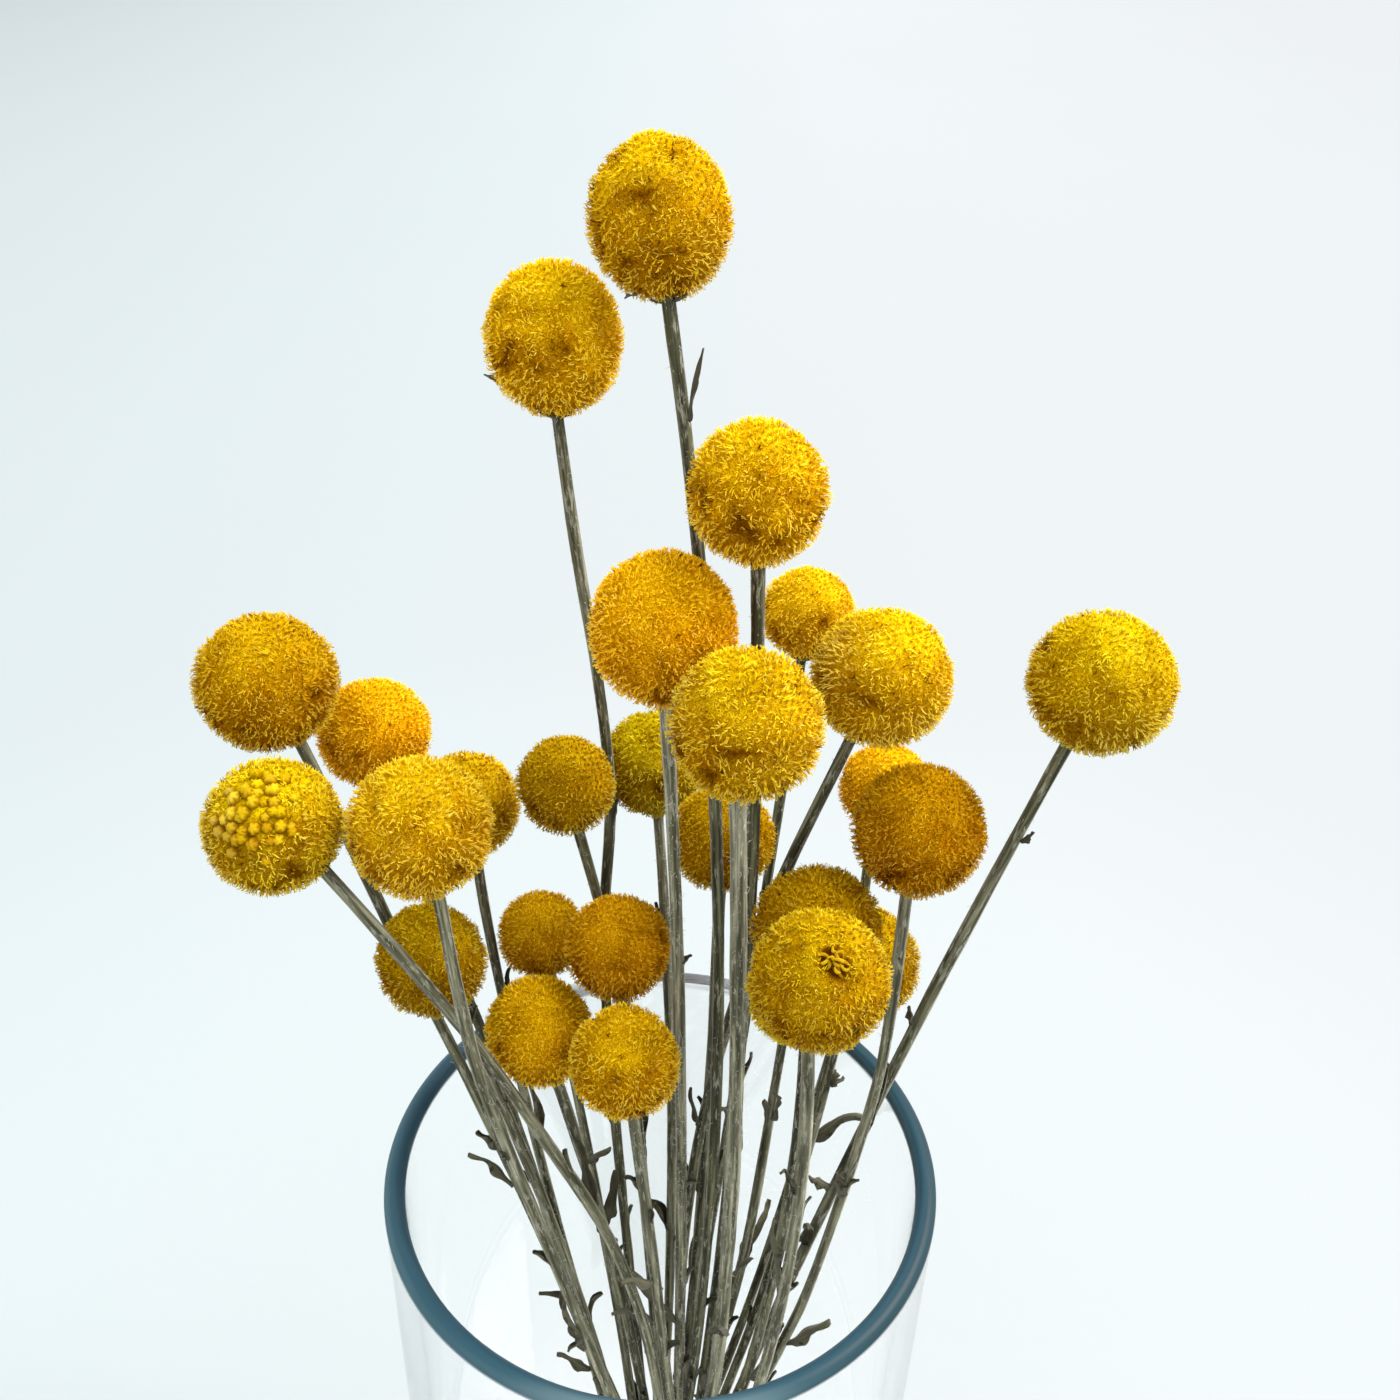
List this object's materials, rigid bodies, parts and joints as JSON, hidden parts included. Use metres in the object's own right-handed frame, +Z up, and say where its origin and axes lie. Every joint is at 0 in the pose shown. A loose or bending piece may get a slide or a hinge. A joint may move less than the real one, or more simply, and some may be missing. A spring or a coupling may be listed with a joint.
{
  "type": "billy buttons stems in a glass vase",
  "caption": "Dried billy button flowers, round golden heads of tiny florets on thin felted stems, standing loose in a clear glass cylinder vase.",
  "frame": {"origin": "centre of the vase's flat base, on the surface it stands on", "axes": "+Z up along the vase's axis, -Y towards the side that faces the viewer, +X to the viewer's right"},
  "size_m": [0.1929, 0.1512, 0.4116],
  "materials": {
    "glass": "clear polished soda glass, teal tint where the rim is seen edge on",
    "stem": "dried stem, grey-olive with whitish felt and fine lengthwise ribs, leaves dark olive brown",
    "floret_lemon": "dry matt florets, lemon yellow with pale tips",
    "floret_golden": "dry matt florets, golden yellow, browner in the gaps",
    "floret_orange": "dry matt florets, orange yellow, browner in the gaps"
  },
  "bodies": {
    "root": {"vase": "glass", "stem_01": "stem", "stem_02": "stem", "stem_03": "stem", "stem_04": "stem", "stem_05": "stem", "stem_06": "stem", "stem_07": "stem", "stem_08": "stem", "stem_09": "stem", "stem_10": "stem", "stem_11": "stem", "stem_12": "stem", "stem_13": "stem", "stem_14": "stem", "stem_15": "stem", "stem_16": "stem", "stem_17": "stem", "stem_18": "stem", "stem_19": "stem", "stem_20": "stem", "stem_21": "stem", "stem_22": "stem", "stem_23": "stem", "stem_24": "stem", "stem_25": "stem", "stem_26": "stem", "stem_27": "stem", "head_01": "floret_golden", "head_02": "floret_golden", "head_03": "floret_golden", "head_04": "floret_orange", "head_05": "floret_lemon", "head_06": "floret_golden", "head_07": "floret_lemon", "head_08": "floret_lemon", "head_09": "floret_orange", "head_10": "floret_golden", "head_11": "floret_orange", "head_12": "floret_lemon", "head_13": "floret_orange", "head_14": "floret_lemon", "head_15": "floret_golden", "head_16": "floret_golden", "head_17": "floret_lemon", "head_18": "floret_orange", "head_19": "floret_lemon", "head_20": "floret_golden", "head_21": "floret_orange", "head_22": "floret_orange", "head_23": "floret_golden", "head_24": "floret_golden", "head_25": "floret_lemon", "head_26": "floret_golden", "head_27": "floret_golden"}
  },
  "joints": []
}
